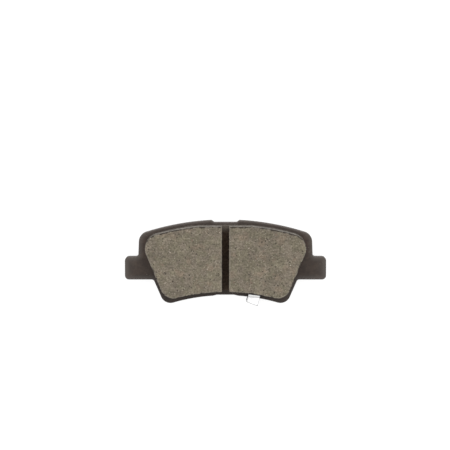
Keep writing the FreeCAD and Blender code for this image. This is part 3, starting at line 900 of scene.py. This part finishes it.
@once
def plated_steel():
    """Bright zinc plate with faint rolling lines. Painted shade greys it at the strip's bends and along its
    sides, more on the right, and a little where the strip leans over the plate."""
    pale, bright = (0.84, 0.84, 0.84), (0.92, 0.92, 0.91)
    # grey and dull are the colours of painted shade.
    grey, shade_grey = (0.55, 0.56, 0.54), (0.30, 0.30, 0.31)
    shades = Shades("plated_steel")
    height, across = shades.along("Z"), shades.across_strip()
    crease_start = shades.step(height, STRIP_TOP - 0.68, STRIP_TOP - 0.48)
    crease_end = shades.step(height, STRIP_TOP - 0.12, STRIP_TOP - 0.26)
    bend_start = shades.step(height, PLATE_FACE - 0.6, PLATE_FACE)
    bend_end = shades.step(height, PLATE_FACE + 1.3, PLATE_FACE + 0.7)
    right_side = shades.step(across, STRIP_HALF - 0.50, STRIP_HALF - 0.20)
    left_side = shades.step(across, 0.42 - STRIP_HALF, 0.18 - STRIP_HALF)
    # Painted shade at the crease, at the lower bend and along the sides, stronger on the right.
    painted_shade = shades.maths("MULTIPLY", shades.maths("MULTIPLY", crease_start, crease_end), 0.55)
    for mask, share in (
        (shades.maths("MULTIPLY", bend_start, bend_end), 0.55),
        (right_side, 0.9),
        (left_side, 0.5),
    ):
        painted_shade = shades.maths("MAXIMUM", painted_shade, shades.maths("MULTIPLY", mask, share))
    base = shades.mix(shades.patches(2.5, 3.0, 0.3, 0.7), pale, bright)
    # Painted shade: a little greyer near the strip's top, where it leans over the plate.
    base = shades.tinted(base, shades.step(height, STRIP_TOP - 0.4, STRIP_TOP - 0.2), 0.30, grey)
    shades.colour(shades.mix(painted_shade, base, shade_grey))
    lines = shades.clouds(1.0, 3.0, shades.stretched((5.0, 0.6, 0.6)))
    shades.roughness(lines, 0.18, 0.30)
    shades.relief((lines, 0.006))
    shades.set(Metallic=1.0)
    return shades.material


@once
def cut_steel():
    """The strip's cut edges, where the plating is thin and grey."""
    shades = Shades("cut_steel")
    tone = shades.clouds(0.6, 3.0)
    shades.colour(shades.mix(tone, (0.18, 0.18, 0.185), (0.34, 0.34, 0.35)))
    shades.roughness(tone, 0.35, 0.55)
    shades.relief((tone, 0.01))
    shades.set(Metallic=1.0)
    return shades.material


@once
def sheet_steel():
    """Cold rolled sheet, greyed by handling, with rolling lines along the pad."""
    shades = Shades("sheet_steel")
    lines = shades.clouds(1.0, 3.0, shades.stretched((0.2, 4.0, 4.0)))
    shades.colour(shades.mix(lines, (0.15, 0.15, 0.155), (0.26, 0.26, 0.265)))
    shades.roughness(lines, 0.35, 0.5)
    shades.relief((lines, 0.004))
    shades.set(Metallic=1.0)
    return shades.material


@once
def shim_rubber():
    """Thin black rubber coating with a fine matte grain."""
    shades = Shades("shim_rubber")
    shades.colour(shades.mix(shades.clouds(3.0, 3.0), (0.018, 0.018, 0.019), (0.030, 0.030, 0.031)))
    shades.roughness(shades.clouds(0.4), 0.65, 0.85)
    shades.relief((shades.clouds(0.15, 2.0), 0.01))
    return shades.material


@once
def film():
    """Cured adhesive, dark amber where it shows at an edge."""
    shades = Shades("film")
    shades.colour(shades.mix(shades.clouds(1.5, 3.0), (0.045, 0.030, 0.020), (0.080, 0.058, 0.040)))
    shades.roughness(shades.clouds(0.7), 0.4, 0.6)
    shades.relief((shades.clouds(0.5, 2.0), 0.02))
    return shades.material


@once
def floor_paint():
    """White studio floor, most of its light its own, so that shadows on it stay faint."""
    shades = Shades("floor_paint")
    grain = shades.clouds(40.0, 3.0)
    shades.colour(shades.mix(grain, (0.23, 0.23, 0.23), (0.25, 0.25, 0.25)))
    shades.roughness(grain, 0.85, 0.95)
    shades.set(Specular_IOR_Level=0.1, Emission_Color=(1, 1, 1, 1), Emission_Strength=FLOOR_GLOW)
    return shades.material


# ---- floor, light and camera ----------------------------------------------------------------------

# Metres and watts. The sky's strength goes from SKY_LOW at the horizon to SKY_TOP where the direction
# rises by SKY_TOP_RISE, and it grows by SKY_SLOPE towards +Y.
FLOOR_HALF = 4.0
FLOOR_CELLS = 8
FLOOR_GAP = 0.00002
FLOOR_GLOW = 0.84
SKY_LOW = 1.0
SKY_TOP = 1.11
SKY_TOP_RISE = 0.6
SKY_SLOPE = 0.2
KEY_PLACE = (0.1, 0.85, 0.52)
KEY_SIZE = (0.7, 0.5)
KEY_WATTS = 4.2
FILL_PLACE = (-0.15, -0.75, 0.45)
FILL_SIZE = (0.6, 0.45)
FILL_WATTS = 0.9
LIGHT_AIM = (0, 0, 0.008)
VIEW_DISTANCE = 0.620
VIEW_TILT = math.radians(4.9)
AIM_ABOVE = 0.018
AIM_LEFT = 0.00025
LENS_MM = 100.4
SENSOR_MM = 36
NEAR_CLIP = 0.01


def studio_floor():
    mesh = bpy.data.meshes.new("floor")
    shape = bmesh.new()
    bmesh.ops.create_grid(shape, x_segments=FLOOR_CELLS, y_segments=FLOOR_CELLS, size=FLOOR_HALF)
    shape.to_mesh(mesh)
    shape.free()
    mesh.materials.append(floor_paint())
    floor = placed("floor", mesh)
    floor.location.z = CAD_BOX[0][2] - FLOOR_GAP


def soft_light(name, place, size, watts):
    light = bpy.data.lights.new(name, "AREA")
    light.shape = "RECTANGLE"
    light.size, light.size_y = size
    light.energy = watts
    lamp = placed(name, light)
    lamp.location = place
    lamp.rotation_euler = (Vector(LIGHT_AIM) - Vector(place)).to_track_quat("-Z", "Y").to_euler()


def studio_sky():
    world = bpy.data.worlds.new("studio")
    world.use_nodes = True
    sky = Tree(world.node_tree)
    background = sky.tree.nodes["Background"]
    background.inputs["Color"].default_value = (1.0, 1.0, 1.0, 1)
    split = sky.add("ShaderNodeSeparateXYZ")
    sky.feed(sky.add("ShaderNodeTexCoord").outputs["Generated"], split.inputs[0])
    rise = sky.between(split.outputs["Z"], 0, SKY_TOP_RISE, SKY_LOW, SKY_TOP)
    slope = sky.maths("MULTIPLY_ADD", split.outputs["Y"], SKY_SLOPE, 1.0)
    sky.feed(sky.maths("MULTIPLY", rise, slope), background.inputs["Strength"])
    bpy.context.scene.world = world


def camera():
    data = bpy.data.cameras.new("camera")
    data.sensor_width = SENSOR_MM
    data.lens = LENS_MM
    data.clip_start = NEAR_CLIP
    aim = Vector((-AIM_LEFT, AIM_ABOVE, PLATE_FACE * MM))
    eye = placed("camera", data)
    eye.location = aim + Vector((0, math.sin(VIEW_TILT), math.cos(VIEW_TILT))) * VIEW_DISTANCE
    eye.rotation_euler = (-VIEW_TILT, 0, 0)
    bpy.context.scene.camera = eye


# ---- the pad --------------------------------------------------------------------------------------

friction_segment("friction_left", "friction_segment_left", 11)
friction_segment("friction_right", "friction_segment_right", 41)
underlayer()
plate()
smooth_copy("indicator_strip", "wear_indicator", [plated_steel(), cut_steel()], 40, 0.18)
smooth_copy("indicator_rivet", "wear_indicator_rivet", [plated_steel()], 35, 0.1)

CARRIED_OVER = {
    "bonding_adhesive": film,
    "shim_adhesive": film,
    "shim_inner_steel": sheet_steel,
    "shim_damping_core": shim_rubber,
    "shim_outer_steel": sheet_steel,
    "shim_outer_coating": shim_rubber,
}
for node, build in CARRIED_OVER.items():
    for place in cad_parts[node].material_slots:
        place.material = build()

# ---- the studio -----------------------------------------------------------------------------------

studio_floor()
studio_sky()
soft_light("key", KEY_PLACE, KEY_SIZE, KEY_WATTS)
soft_light("fill", FILL_PLACE, FILL_SIZE, FILL_WATTS)
camera()
bpy.context.scene.view_settings.view_transform = "Standard"
